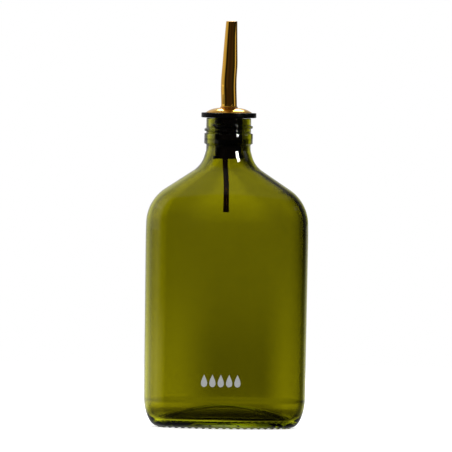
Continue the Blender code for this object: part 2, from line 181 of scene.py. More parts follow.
# The screw thread: growth on the root of the finish that is greatest on a helix and
# falls off on both sides over half its width.
def threadRidge(turn, rows):
    ridge = np.zeros((len(rows), len(turn)))
    onRoot = np.abs(rows[:, 1] - flask["root"]) < closeEnough
    level = rows[:, 2:3]
    behind = (turn - radians(thread["start"])) % (2 * pi)
    for lap in (0, 1):
        share = (behind + 2 * pi * lap) / (2 * pi * thread["turns"])
        fade = np.clip(np.minimum(share, 1 - share) / thread["fade"], 0, 1)
        middle = thread["top"] - thread["pitch"] * thread["turns"] * share
        across = (level - middle) / thread["halfWidth"]
        form = np.clip(thread["steepness"] * (1 - across ** 2), 0, 1) * smoothStep(fade)
        ridge = np.maximum(ridge, thread["crest"] * form)
    return ridge * onRoot[:, None]


# The small moulded bars under the base: a drop of the bearing ring's points, in steps of
# equal length round the ring.
def barDrop(turn, rows):
    inset = flask["taper"] + flask["heelInset"] + 0.5 * flask["bearing"]
    across, deep = ovalPoint(turn)
    ringX, ringY = across - inset * np.sin(turn), deep + inset * np.cos(turn)
    gaps = np.hypot(np.roll(ringX, -1) - ringX, np.roll(ringY, -1) - ringY)
    along = np.concatenate([[0], np.cumsum(gaps)[:-1]])
    pitch = gaps.sum() / baseBars["count"]
    fromBar = np.abs((along + pitch / 2) % pitch - pitch / 2)
    width = smoothStep((baseBars["widthReach"] - fromBar / baseBars["width"])
                       / baseBars["widthFade"])
    fromMiddle = np.abs(rows[:, 1:2] + inset)
    length = smoothStep((baseBars["lengthReach"] - fromMiddle / baseBars["length"])
                        / baseBars["lengthFade"])
    atFoot = np.abs(rows[:, 2:3] - baseBars["height"]) < closeEnough
    onRing = (rows[:, :1] == 1) & atFoot
    return baseBars["height"] * width * length * onRing


# Changes (radius, height) points of the shoulder into rows that pass from circle to oval.
def blendRows(points, neckRadius, bodyGrowth):
    width = flask["halfWidth"] + bodyGrowth
    share = (points[:, 0] - neckRadius) / (width - neckRadius)
    return np.stack([share, share * bodyGrowth + (1 - share) * neckRadius, points[:, 1]], 1)


# The shoulder from the neck out to the wall: a hollow bend, a straight slope of the length
# that is left, the round of the shoulder and a long easing arc that ends upright.
def shoulderStrokes(hollowBend, shoulderBend, startRadius, startAngle, endRadius):
    slope, ease = radians(flask["slope"]), radians(flask["easeAngle"])
    hollowWidth = hollowBend * (cos(radians(startAngle)) - cos(slope))
    bendWidth = shoulderBend * (cos(ease) - cos(slope))
    easeWidth = flask["easeBend"] * (1 - cos(ease))
    length = (endRadius - startRadius - hollowWidth - bendWidth - easeWidth) / sin(slope)
    return [("turn", hollowBend, flask["slope"], 16), ("run", length, 3),
            ("turn", shoulderBend, flask["easeAngle"], 20), ("turn", flask["easeBend"], 0.0, 3)]


def outerShoulder():
    strokes = [("run", flask["neckTop"] - flask["flareTop"], 3),
               ("turn", flask["flareBend"], flask["flareAngle"], 6), ("run", flask["cone"], 4)]
    start = drawProfile(flask["neck"], flask["neckTop"], strokes)
    rest = shoulderStrokes(flask["hollowBend"], flask["shoulderBend"], start[-1, 0],
                           flask["flareAngle"], flask["halfWidth"])
    return drawProfile(flask["neck"], flask["neckTop"], strokes + rest)


# Drawn once at height 0 to learn its length, and then from where it ends at the bottom.
def innerShoulder(bottom):
    wall = flask["wall"]
    strokes = shoulderStrokes(flask["hollowBend"] + wall, flask["shoulderBend"] - wall,
                              flask["bore"], 0.0, flask["halfWidth"] - wall)
    trial = drawProfile(flask["bore"], 0.0, strokes)
    return drawProfile(flask["bore"], bottom - trial[-1, 1], strokes)


# Quarter rounds of the heel: the inset falls from the bearing ring to the wall as a
# power of the sine, and the height rises as the same power of the cosine.
def heelRows():
    angle = np.linspace(0, pi / 2, 25)
    power = 2 / flask["heelPower"]
    inset = flask["heelInset"] * (1 - np.sin(angle) ** power)
    rise = 1 - np.clip(np.cos(angle), 0, 1) ** power
    height = baseBars["height"] + (flask["heelHeight"] - baseBars["height"]) * rise
    return np.stack([1 + 0 * angle, -flask["taper"] - inset, height], 1)


# The dome under the base, height h (1 - s^2) at share s of its width, and the bearing ring.
def pushUpRows():
    share = np.linspace(0, 1, 12)
    inset = flask["taper"] + flask["heelInset"] + flask["bearing"]
    dome = np.stack([share, -inset * share,
                     baseBars["height"] + flask["pushUp"] * (1 - share ** 2)], 1)
    across = np.array([0.3, 0.4, 0.55, 0.9, 1.5, 2.1, 2.45, 2.6, 2.7]) * mm
    ring = np.stack([1 + 0 * across, -inset + across, baseBars["height"] + 0 * across], 1)
    return np.concatenate([dome, ring])


# The screw finish from the neck's top up: collar, root of the thread and rounded rim.
def finishRows():
    collar, root, rim = flask["collar"], flask["root"], flask["rimRound"]
    bend = flask["collarRound"]
    quarter = np.linspace(0, pi / 2, 5)
    low, high = flask["collarBottom"], flask["collarTop"]
    top = flask["top"]
    level = np.linspace(high + 1.2 * bend, top - 1.1 * rim, 48)
    parts = [
        np.stack([collar - bend + bend * np.sin(quarter), low + bend * (1 - np.cos(quarter))], 1),
        np.stack([collar - bend + bend * np.cos(quarter), high - bend * (1 - np.sin(quarter))], 1),
        np.stack([root + bend * (1 - np.sin(quarter[1:])),
                  high + bend * (1 - np.cos(quarter[1:]))], 1),
        np.stack([root + 0 * level, level], 1),
        np.stack([root - rim + rim * np.cos(quarter), top - rim + rim * np.sin(quarter)], 1),
        np.stack([flask["bore"] + rim - rim * np.sin(quarter),
                  top - rim + rim * np.cos(quarter)], 1),
    ]
    points = np.concatenate(parts)
    return np.stack([0 * points[:, 0], points[:, 0], points[:, 1]], 1)


# A quarter oval from the inner wall down to the floor's edge, and the floor's dome, whose
# height is h (1 - s^2) at share s of its width.
def innerFloorRows():
    angle = np.linspace(0, pi / 2, 20)
    wall = flask["wall"] + flask["taper"]
    heel = np.stack([1 + 0 * angle, -wall - flask["innerHeelInset"] * (1 - np.cos(angle)),
                     flask["floorEdge"] + flask["innerHeelHeight"] * (1 - np.sin(angle))], 1)
    share = np.linspace(1, 0, 14)[1:]
    inset = wall + flask["innerHeelInset"]
    dome = np.stack([share, -inset * share,
                     flask["floorEdge"] + flask["floorRise"] * (1 - share ** 2)], 1)
    return np.concatenate([heel, dome])


def makeFlask(material):
    outer = outerShoulder()
    rows = np.concatenate([
        pushUpRows(), heelRows(), blendRows(outer[::-1], flask["neck"], 0.0), finishRows(),
        blendRows(innerShoulder(outer[-1, 1]), flask["bore"], -flask["wall"]),
        innerFloorRows()])
    piece = skinGrid("flask_glass", flaskGrid(rows), material)
    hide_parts("bottle")


stopper = {
    "flange": 17.05 * mm, "flangeBottom": 192.3 * mm, "flangeTop": 195.3 * mm,
    "round": 0.45 * mm, "fillet": 0.25 * mm,
    "plug": 8.7 * mm, "rib": 9.02 * mm, "ribs": 4, "ribPitch": 3.2 * mm, "ribHeight": 0.9 * mm,
    "ribReach": 0.7, "step": 175.4 * mm, "end": 8.2 * mm, "fin": 9.6 * mm, "finTop": 168.6 * mm,
    "bottom": 166.8 * mm, "plugRows": 140, "columns": 192,
}


# Flange with rounded corners, then the plug whose radius swells at each rib by a smooth
# step of the distance to the rib's middle, a narrower end and a thin fin at the bottom.
def makeStopper(material):
    quarter = np.linspace(0, pi / 2, 7)
    bend, low, high = stopper["round"], stopper["flangeBottom"], stopper["flangeTop"]
    wide = stopper["flange"] - bend
    level = np.linspace(low, stopper["step"], stopper["plugRows"])
    phase = (low - level) / stopper["ribPitch"]
    near = np.abs(phase - np.clip(np.round(phase), 1, stopper["ribs"])) * stopper["ribPitch"]
    hump = smoothStep(1 - near / (stopper["ribReach"] * stopper["ribHeight"]))
    plug = stopper["plug"] + (stopper["rib"] - stopper["plug"]) * hump
    fin, finTop, bottom, end = (stopper[key] for key in ("fin", "finTop", "bottom", "end"))
    step, fillet = stopper["step"], stopper["fillet"]
    profile = np.concatenate([
        [(0, high), (0.5 * wide, high), (wide - 0.3 * mm, high)],
        np.stack([wide + bend * np.sin(quarter), high - bend * (1 - np.cos(quarter))], 1),
        np.stack([wide + bend * np.cos(quarter), low + bend * (1 - np.sin(quarter))], 1),
        [(stopper["plug"] + 0.4 * mm, low)],
        np.stack([plug, level], 1),
        [(end + fillet, step - 0.15 * mm), (end, step - 0.4 * mm),
         (end, step - 1.2 * mm), (end, finTop + 0.6 * mm),
         (end + 0.08 * mm, finTop + 0.2 * mm), (end + 0.3 * mm, finTop),
         (fin - fillet, finTop - 0.1 * mm), (fin, finTop - fillet - 0.1 * mm),
         (fin, bottom + fillet), (fin - 0.1 * mm, bottom + 0.08 * mm), (fin - fillet, bottom),
         (0.5 * fin, bottom), (0, bottom)],
    ])
    piece = skinGrid("rubber_stopper", spinRows(profile, stopper["columns"]), material)
    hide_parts("stopper")


disc = {"radius": 14.2 * mm, "bottom": 195.35 * mm, "edge": 0.2 * mm, "top": 198.5 * mm,
        "power": 3.6, "domeStart": 0.985, "domeRows": 60, "columns": 192}


# A pressed disc: a low upright edge with small rounds, and a dome whose height falls with
# a power of the radius.
def makeDisc(material):
    radius, bottom, edge = disc["radius"], disc["bottom"], disc["edge"]
    share = np.linspace(disc["domeStart"], 0, disc["domeRows"])
    rise = disc["top"] - bottom - edge
    profile = np.concatenate([
        [(0, bottom), (0.5 * radius, bottom), (radius - 0.2 * mm, bottom),
         (radius - 0.06 * mm, bottom + 0.03 * mm), (radius, bottom + 0.1 * mm),
         (radius, bottom + 0.17 * mm), (radius - 0.05 * mm, bottom + 0.26 * mm)],
        np.stack([radius * share, disc["top"] - rise * share ** disc["power"]], 1),
    ])
    piece = skinGrid("gold_disc", spinRows(profile, disc["columns"]), material)
    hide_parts("disc")


spout = {
    "bottom": 198.55 * mm, "top": 252.0 * mm, "radius": 4.9 * mm, "tipRadius": 3.5 * mm,
    "wall": 0.8 * mm, "lip": 0.25 * mm, "taperStart": 223.0 * mm, "taperSoftness": 6.0 * mm,
    "footRadius": 5.5 * mm, "footHeight": 1.2 * mm, "bendStart": 212.0 * mm,
    "tipBack": 4.6 * mm, "tipSide": 0.9 * mm, "sway": 0.45 * mm, "swayEnd": 0.55,
    "rows": 90, "columns": 160,
}


# The axis sways left by a sine hump, then leans back and right with the square of height.
def spoutAxis(height):
    share = (height - spout["bottom"]) / (spout["top"] - spout["bottom"])
    bent = np.clip((height - spout["bendStart"]) / (spout["top"] - spout["bendStart"]), 0, 1)
    hump = np.sin(pi * np.minimum(1, share / spout["swayEnd"])) ** 2
    return spout["tipSide"] * share ** 2 - spout["sway"] * hump, spout["tipBack"] * bent ** 2


# A cylinder below and a cone above, with a soft passage between them.
def spoutRadius(height):
    slope = (spout["radius"] - spout["tipRadius"]) / (spout["top"] - spout["taperStart"])
    past = height - spout["taperStart"]
    return spout["radius"] - slope * (past + np.sqrt(past ** 2 + spout["taperSoftness"] ** 2)) / 2


# Rings about the bent axis: x = across + r cos(turn), y = back + r sin(turn) stretched by
# the axis's lean. The rows run up the outside, over the lip and down the inside.
def makeSpout(material):
    bottom, foot = spout["bottom"], spout["footHeight"]
    top, lip = spout["top"], spout["lip"]
    fillet = np.linspace(0, pi / 2, 8)
    level = np.linspace(bottom + foot, top - lip, spout["rows"])
    swell = (spout["footRadius"] - spout["radius"]) * (1 - np.sin(fillet))
    tip = float(spoutRadius(np.array(top)))
    lipTurn = np.linspace(0, pi / 2, 5)
    rows = np.concatenate([
        [(bottom, spout["footRadius"]), (bottom + 0.35 * foot, spout["footRadius"])],
        np.stack([bottom + foot * (0.4 + 0.6 * (1 - np.cos(fillet))), spout["radius"] + swell], 1),
        np.stack([level[1:], spoutRadius(level[1:])], 1),
        np.stack([top - lip + lip * np.sin(lipTurn[1:]),
                  tip - lip + lip * np.cos(lipTurn[1:])], 1),
        np.stack([top - lip + lip * np.cos(lipTurn),
                  tip - spout["wall"] + lip - lip * np.sin(lipTurn)], 1),
        np.stack([level[-2::-1], spoutRadius(level[-2::-1]) - spout["wall"]], 1),
        [(bottom, spout["radius"] - spout["wall"])],
    ])
    height, radius = rows[:, :1], rows[:, 1:]
    turn = np.linspace(0, 2 * pi, spout["columns"], endpoint=False)
    across, back = spoutAxis(height)
    before = spoutAxis(height - mm)[1]
    stretch = np.sqrt(1 + ((back - before) / mm) ** 2)
    grid = np.stack([across + radius * np.cos(turn), back + radius * stretch * np.sin(turn),
                     height + 0 * turn], axis=-1)
    piece = skinGrid("gold_spout", grid, material, ring=True)
    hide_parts("spout")


airTube = {"radius": 1.6 * mm, "bore": 0.9 * mm, "endRadius": 1.85 * mm, "top": 175.7 * mm,
           "bottom": 133.8 * mm, "place": (-1.8 * mm, -4.7 * mm),
           "endPlace": (-0.85 * mm, -1.5 * mm), "bendTop": 166.8 * mm, "bendBottom": 148.0 * mm,
           "rows": 70, "columns": 48}


# A thin tube straight in its socket, then bent towards the middle by a smooth step; its
# radius opens with the cube of the way down.
def makeAirTube(material):
    share = np.linspace(0, 1, airTube["rows"])[:, None]
    level = airTube["top"] - (airTube["top"] - airTube["bottom"]) * share
    flare = (airTube["endRadius"] - airTube["radius"]) * share ** 3
    bent = smoothStep((airTube["bendTop"] - level) / (airTube["bendTop"] - airTube["bendBottom"]))
    turn = np.linspace(0, 2 * pi, airTube["columns"], endpoint=False)
    startX, startY = airTube["place"]
    endX, endY = airTube["endPlace"]

    def tubeRows(radius):
        return np.stack([startX + (endX - startX) * bent + radius * np.cos(turn),
                         startY + (endY - startY) * bent + radius * np.sin(turn),
                         level + 0 * turn], axis=-1)

    grid = np.concatenate([tubeRows(airTube["radius"] + flare),
                           tubeRows(airTube["bore"] + flare)[::-1]])
    piece = skinGrid("air_tube_metal", grid, material, ring=True)
    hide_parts("air_tube")


drops = {"count": 5, "left": -14.9 * mm, "right": 10.0 * mm, "low": 26.5 * mm,
         "high": 34.3 * mm, "width": 4.3 * mm, "sink": 0.02 * mm, "proud": 0.05 * mm,
         "belly": 0.62, "pinch": 1.4, "middle": -0.38, "rimPower": 8, "columns": 72}


# Depth of the flask's front at a place across and a height: y = c - sqrt(r^2 - x^2), where
# the broad arc's radius r grows up the wall to taperTop.
def frontDepth(across, height):
    rise = np.clip((height - flask["heelHeight"]) / (flask["taperTop"] - flask["heelHeight"]),
                   0, 1)
    radius = broadArc - flask["taper"] * (1 - rise)
    return (broadArc - flask["halfDepth"]) - np.sqrt(radius ** 2 - across ** 2)


# One drop: outline x = belly w sin(t) |sin(t/2)|^pinch, z = h cos(t), filled towards its
# middle and laid on the curved front; its face stands proud and falls off at the rim.
def makeDrop(number, material):
    pitch = (drops["right"] - drops["left"] - drops["width"]) / (drops["count"] - 1)
    middle = drops["left"] + drops["width"] / 2 + pitch * number
    turn = np.linspace(0, 2 * pi, drops["columns"], endpoint=False)
    pinched = np.abs(np.sin(turn / 2)) ** drops["pinch"]
    outlineX = drops["belly"] * drops["width"] * np.sin(turn) * pinched
    halfHeight = (drops["high"] - drops["low"]) / 2
    outlineZ = halfHeight * np.cos(turn)
    lower = drops["middle"] * halfHeight
    fill = np.concatenate([np.linspace(0, 0.9, 8), [0.96, 0.99, 1.0]])[:, None]
    across = middle + fill * outlineX
    height = (drops["high"] + drops["low"]) / 2 + lower + fill * (outlineZ - lower)
    surface = frontDepth(across, height)
    face = drops["proud"] * np.sqrt(np.clip(1 - fill ** drops["rimPower"], 0, 1))
    front = np.stack([across, surface - drops["sink"] - face, height], axis=-1)
    back = np.stack([across, surface - drops["sink"], height], axis=-1)
    grid = np.concatenate([front, back[-2::-1]])
    piece = skinGrid(f"print_drop_{number + 1}", grid, material)


def newMaterial(name):
    material = bpy.data.materials.new(name)
    material.use_nodes = True
    tree = material.node_tree
    tree.nodes.clear()
    output = tree.nodes.new("ShaderNodeOutputMaterial")
    shader = tree.nodes.new("ShaderNodeBsdfPrincipled")
    tree.links.new(shader.outputs["BSDF"], output.inputs["Surface"])
    return material, tree, shader


def objectPlace(tree, scale):
    place = tree.nodes.new("ShaderNodeTexCoord")
    mapping = tree.nodes.new("ShaderNodeMapping")
    mapping.inputs["Scale"].default_value = scale
    tree.links.new(place.outputs["Object"], mapping.inputs["Vector"])
    return mapping.outputs["Vector"]


# The object's own height as a share of a full height.
def heightShare(tree, full):
    split = tree.nodes.new("ShaderNodeSeparateXYZ")
    tree.links.new(objectPlace(tree, (1, 1, 1 / full)), split.inputs[0])
    return split.outputs["Z"]


def noise(tree, scale, detail=2.0, stretch=(1, 1, 1)):
    node = tree.nodes.new("ShaderNodeTexNoise")
    node.inputs["Scale"].default_value = scale
    node.inputs["Detail"].default_value = detail
    tree.links.new(objectPlace(tree, stretch), node.inputs["Vector"])
    return node.outputs["Fac"]


# Stops of (value, colour or grey) turned into a smooth ramp over a value.
def rampOf(tree, value, stops):
    node = tree.nodes.new("ShaderNodeValToRGB")
    ramp = node.color_ramp
    while len(ramp.elements) < len(stops):
        ramp.elements.new(0.5)
    for element, (place, shade) in zip(ramp.elements, stops):
        element.position = place
        element.color = (*(shade if isinstance(shade, tuple) else (shade,) * 3), 1)
    tree.links.new(value, node.inputs["Fac"])
    return node.outputs["Color"]


def multiplyColors(tree, first, second):
    node = tree.nodes.new("ShaderNodeMix")
    node.data_type = "RGBA"
    node.blend_type = "MULTIPLY"
    node.inputs[0].default_value = 1.0
    tree.links.new(first, node.inputs[6])
    tree.links.new(second, node.inputs[7])
    return node.outputs[2]


# A smooth passage of a value between two levels, from one result to another.
def between(tree, value, low, high, first=0.0, last=1.0):
    node = tree.nodes.new("ShaderNodeMapRange")
    node.interpolation_type = "SMOOTHSTEP"
    for name, level in (("From Min", low), ("From Max", high), ("To Min", first), ("To Max", last)):
        node.inputs[name].default_value = level
    tree.links.new(value, node.inputs["Value"])
    return node.outputs["Result"]


def bumpFrom(tree, height, shader, distance, strength=1.0):
    node = tree.nodes.new("ShaderNodeBump")
    node.inputs["Distance"].default_value = distance
    node.inputs["Strength"].default_value = strength
    tree.links.new(height, node.inputs["Height"])
    tree.links.new(node.outputs["Normal"], shader.inputs["Normal"])


# The tint's shares by height, over the flask's height: lighter in the shoulders, which is painted
# light for their pale sheen. And over heelLevel near the base: a lighter bottom band and a darker
# band above it, painted light and painted shade for the bands that refraction gives the thick base.
oliveGlass = {"density": 200.0, "clear": (0.850, 0.873, 0.0), "ior": 1.52,
              "tint": (0.476, 0.450, 0.04), "cloud": [(0.3, 0.975), (0.7, 1.025)],
              "cloudScale": 28.0, "waveScale": 45.0, "waveAlong": 0.5, "wave": 0.01 * mm,
              "heelLevel": 24 * mm,
              "heelPaintedLightAndShade": [(0.0, 2.4), (0.215, 2.2), (0.25, 0.9), (0.31, 0.5), (0.4, 0.5),
                             (0.47, 0.9), (0.56, 1.05), (0.66, 1.05), (0.72, 1.1), (0.84, 1.0)],
              "shares": [(0.0, 1.25), (0.65, 1.25), (0.73, 1.36), (0.80, 1.5), (0.85, 1.42),
                         (0.89, 1.12), (1.0, 1.08)]}


def oliveGlassMaterial():
    material, tree, shader = newMaterial("olive glass")
    shader.inputs["Transmission Weight"].default_value = 1.0
    shader.inputs["IOR"].default_value = oliveGlass["ior"]
    shader.inputs["Roughness"].default_value = 0.0
    cloud = rampOf(tree, noise(tree, oliveGlass["cloudScale"]), oliveGlass["cloud"])
    level = heightShare(tree, flask["top"])
    # The tint is made lighter in the shoulders: painted light.
    paintedLighterTint = rampOf(tree, level, [(place, tuple(share * shade for shade in oliveGlass["tint"]))
                                 for place, share in oliveGlass["shares"]])
    # Near the base, a lighter bottom band and a darker band above it: painted light and painted
    # shade.
    heelLevel = mathNode(tree, "MULTIPLY", level, flask["top"] / oliveGlass["heelLevel"])
    heel = rampOf(tree, heelLevel, oliveGlass["heelPaintedLightAndShade"])
    tint = multiplyColors(tree, multiplyColors(tree, paintedLighterTint, cloud), heel)
    tree.links.new(tint, shader.inputs["Base Color"])
    wave = noise(tree, oliveGlass["waveScale"], 1.0, (1, 1, oliveGlass["waveAlong"]))
    bumpFrom(tree, wave, shader, oliveGlass["wave"])
    volume = tree.nodes.new("ShaderNodeVolumeAbsorption")
    volume.inputs["Color"].default_value = (*oliveGlass["clear"], 1)
    volume.inputs["Density"].default_value = oliveGlass["density"]
    tree.links.new(volume.outputs["Volume"], tree.nodes["Material Output"].inputs["Volume"])
    return material


blackRubber = {"grain": 900.0, "blotch": 300.0, "specular": 0.05, "bump": 0.02 * mm,
               "bumpShare": 0.5,
               "colors": [(0.3, (0.0009, 0.0008, 0.0008)), (0.7, (0.0016, 0.0014, 0.0013))],
               "roughness": [(0.3, 0.22), (0.7, 0.32)]}


def blackRubberMaterial():
    material, tree, shader = newMaterial("black rubber")
    grain = noise(tree, blackRubber["grain"], 3.0)
    tree.links.new(rampOf(tree, grain, blackRubber["colors"]), shader.inputs["Base Color"])
    blotch = noise(tree, blackRubber["blotch"])
    tree.links.new(rampOf(tree, blotch, blackRubber["roughness"]), shader.inputs["Roughness"])
    shader.inputs["Specular IOR Level"].default_value = blackRubber["specular"]
    bumpFrom(tree, grain, shader, blackRubber["bump"], blackRubber["bumpShare"])
    return material


# The disc is a little rougher than the spout, and they share one material: the change lies
# between two heights.
polishedGold = {"streak": 700.0, "along": 0.04, "bump": 0.01 * mm, "bumpShare": 0.6,
                "colors": [(0.3, (0.85, 0.46, 0.055)), (0.7, (0.93, 0.51, 0.07))],
                "discTop": 198.6 * mm, "spoutFoot": 199.2 * mm,
                "discRoughness": 0.13, "spoutRoughness": 0.035}


def polishedGoldMaterial():
    material, tree, shader = newMaterial("polished gold")
    shader.inputs["Metallic"].default_value = 1.0
    streak = noise(tree, polishedGold["streak"], 3.0, (1, 1, polishedGold["along"]))
    tree.links.new(rampOf(tree, streak, polishedGold["colors"]), shader.inputs["Base Color"])
    rough = between(tree, heightShare(tree, 1.0), polishedGold["discTop"],
                    polishedGold["spoutFoot"], polishedGold["discRoughness"],
                    polishedGold["spoutRoughness"])
    tree.links.new(rough, shader.inputs["Roughness"])
    bumpFrom(tree, streak, shader, polishedGold["bump"], polishedGold["bumpShare"])
    return material


darkMetal = {"metallic": 0.6, "stain": 260.0, "along": 0.3, "bump": 0.02 * mm,
             "bumpShare": 0.4,
             "colors": [(0.3, (0.17, 0.06, 0.03)), (0.7, (0.3, 0.11, 0.04))],
             "roughness": [(0.3, 0.4), (0.7, 0.55)]}


def darkMetalMaterial():
    material, tree, shader = newMaterial("dark metal")
    shader.inputs["Metallic"].default_value = darkMetal["metallic"]
    stain = noise(tree, darkMetal["stain"], 3.0, (1, 1, darkMetal["along"]))
    tree.links.new(rampOf(tree, stain, darkMetal["colors"]), shader.inputs["Base Color"])
    tree.links.new(rampOf(tree, stain, darkMetal["roughness"]), shader.inputs["Roughness"])
    bumpFrom(tree, stain, shader, darkMetal["bump"], darkMetal["bumpShare"])
    return material


palePrint = {"speck": 1500.0, "roughness": 0.55, "bump": 0.01 * mm, "bumpShare": 0.4,
             "colors": [(0.3, (0.265, 0.275, 0.27)), (0.7, (0.32, 0.33, 0.325))]}


def palePrintMaterial():
    material, tree, shader = newMaterial("pale print")
    speck = noise(tree, palePrint["speck"])
    tree.links.new(rampOf(tree, speck, palePrint["colors"]), shader.inputs["Base Color"])
    shader.inputs["Roughness"].default_value = palePrint["roughness"]
    bumpFrom(tree, speck, shader, palePrint["bump"], palePrint["bumpShare"])
    return material


studio = {
    "camera": 4.2, "cameraHeight": 0.279, "look": (-0.00072, 0.0, 0.1251), "roll": 0.892,
    "lens": 540.0, "sensor": 36.0, "farthest": 50.0, "backdrop": 1.0, "fillLight": 1.1,
}
# What shining surfaces find round the studio: brightness or colour by direction in degrees,
# 0 straight behind the cruet, 180 at the camera, negative on the left.
shineAbove = [(-180, .15), (-150, .2), (-110, .3), (-60, .4), (-20, .45), (20, .4), (60, .2),
              (110, .12), (180, .15)]
shineHigh = [(-180, (.03, .022, .02)), (-168, (.04, .03, .025)), (-155, (.055, .04, .035)),
             (-142, (.035, .026, .022)), (-132, .01), (-121, .008), (-113, .12), (-106, .42),
             (-100, .52), (-70, .6), (0, .65), (12, .5), (18, .3), (24, .2), (36, .12),
             (52, .06), (64, .03), (73, .025), (128, .02), (143, (.045, .034, .03)),
             (155, (.04, .028, .024)), (180, (.03, .022, .02))]
shineMiddle = [(-180, (.035, .024, .02)), (-150, (.035, .024, .02)), (-137, .01), (-127, .01),
               (-118, .06), (-108, .22), (-102, .3), (-92, .26), (-81, .28), (-74, .38),
               (-68, .5), (-55, .53), (-46, .5), (-25, .6), (0, .6), (20, .6), (36, .4),
               (46, .12), (55, .01), (130, .02), (180, (.035, .024, .02))]
shineLow = [(-180, .01), (-136, .02), (-123, .24), (-114, .33), (-101, .55), (-91, .42),
            (-81, .52), (-74, .75), (-65, .95), (-55, .75), (-25, .9), (0, .9), (20, .8),
            (36, .5), (46, .15), (56, .02), (180, .01)]
shineBelow = [(-180, .01), (-140, .02), (-110, .1), (-60, .15), (-20, .4), (0, .5), (20, .3),
              (60, .05), (100, .02), (180, .01)]
# Each band passes into the next one up between two angles.
shineBands = [(-16, -7, shineLow), (-4, -3, shineMiddle), (-1.17, -1.09, shineHigh),
              (34, 42, shineAbove)]
shineUnder = {"low": -88, "high": -78, "strength": 0.9}
# What shows through the glass: brightness by direction round and by angle up.
seenAround = [(-180, .01), (-110, .01), (-80, .1), (-60, .32), (-45, .52), (-35, .68),
              (-28, .85), (-20, .98), (-12, 1.0), (-8, .97), (-4.5, .77), (-2, .61),
              (1.1, .6), (4.5, .6), (8, .55), (13, .52), (19, .42), (26, .2), (34, .1),
              (47, .1), (70, .04), (110, .01), (180, .01)]
seenUp = [(-90, .5), (-60, .5), (-45, .6), (-33, .8), (-22, .95), (-4, 1.0), (-3.6, 1.0),
          (-3.2, .9), (-2.7, .79), (-2.2, .69), (-1.2, .66), (-.4, .72), (1, .8), (5, .84),
          (9, .82), (14, .68), (22, .52), (45, .45), (90, .45)]
# Cards that darken or lighten what shows through the glass. Each edge is a soft passage from
# outside the card to inside it.
darkCards = [{"left": (-0.9, -0.08), "right": (1.1, 0.6), "top": (-2.2, -3.5),
              "bottom": (-34.0, -8.0), "strength": 0.56},
             {"left": (5.0, 22.0), "bottom": (-3.6, -1.4), "strength": 0.9}]
paleCards = [{"left": (-0.9, -0.25), "right": (0.95, 0.45), "bottom": (-2.4, -1.2),
              "strength": 0.33},
             {"left": (-180, -179), "top": (-2.4, -3.4), "bottom": (-14, -6),
              "strength": 0.15}]


def degreeRamp(tree, angle, stops):
    return rampOf(tree, angle, [((place + 180) / 360, shade) for place, shade in stops])


squeeze = 6.0


# A ramp over an angle a changed to a / (|a| + squeeze), which keeps fine steps near 0 degrees.
def fineRamp(tree, angle, stops):
    span = mathNode(tree, "ADD", mathNode(tree, "ABSOLUTE", angle), squeeze)
    place = mathNode(tree, "ADD", mathNode(tree, "DIVIDE", angle, span), 1.0)
    return rampOf(tree, mathNode(tree, "MULTIPLY", place, 0.5),
                  [(0.5 + 0.5 * stop / (abs(stop) + squeeze), shade) for stop, shade in stops])


def mathNode(tree, operation, first, second=None):
    node = tree.nodes.new("ShaderNodeMath")
    node.operation = operation
    for socket, value in zip(node.inputs, (first, second)):
        if isinstance(value, (int, float)):
            socket.default_value = value
        elif value is not None:
            tree.links.new(value, socket)
    return node.outputs["Value"]


def mixColor(tree, factor, first, second):
    node = tree.nodes.new("ShaderNodeMix")
    node.data_type = "RGBA"
    for socket, value in zip((node.inputs[0], node.inputs[6], node.inputs[7]),
                             (factor, first, second)):
        if isinstance(value, (int, float)):
            socket.default_value = (value,) * 3 + (1,) if socket.type == "RGBA" else value
        else:
            tree.links.new(value, socket)
    return node.outputs[2]


# The share of a card at each direction: the product of its edges' passages and its strength.
def cardShare(tree, side, up, card):
    share = mathNode(tree, "MULTIPLY", between(tree, side, *card["left"]), card["strength"])
    for edge, angle in (("right", side), ("top", up), ("bottom", up)):
        if edge in card:
            share = mathNode(tree, "MULTIPLY", share, between(tree, angle, *card[edge]))
    return share


